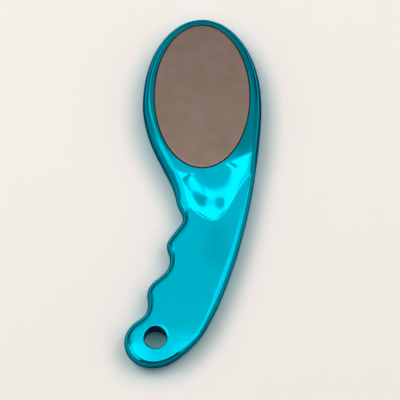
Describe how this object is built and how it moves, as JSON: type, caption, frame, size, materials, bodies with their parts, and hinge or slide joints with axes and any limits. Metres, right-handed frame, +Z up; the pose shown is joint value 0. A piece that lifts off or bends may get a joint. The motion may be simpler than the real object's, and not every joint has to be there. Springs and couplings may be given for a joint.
{
  "type": "foot file",
  "caption": "Curved paddle foot file with an oval abrasive plate on each face, finger grooves and a hang hole.",
  "frame": {"origin": "on the rest plane, under the centre of the outline's box", "axes": "+X right, +Y along the file towards the head, +Z up out of the front face"},
  "size_m": [0.0708, 0.199, 0.015],
  "materials": {
    "metallised_shell": "ABS, vacuum metallised and coated with a clear aqua lacquer",
    "fine_plate": "etched steel sheet with fine raised teeth, matt warm grey",
    "coarse_plate": "etched steel sheet with coarse raised teeth, matt warm grey",
    "adhesive_foam": "thin black acrylic foam, adhesive on both sides"
  },
  "bodies": {
    "root": {"front_shell": "metallised_shell", "back_shell": "metallised_shell", "front_file_plate": "fine_plate", "back_file_plate": "coarse_plate", "front_adhesive_pad": "adhesive_foam", "back_adhesive_pad": "adhesive_foam"}
  },
  "joints": []
}
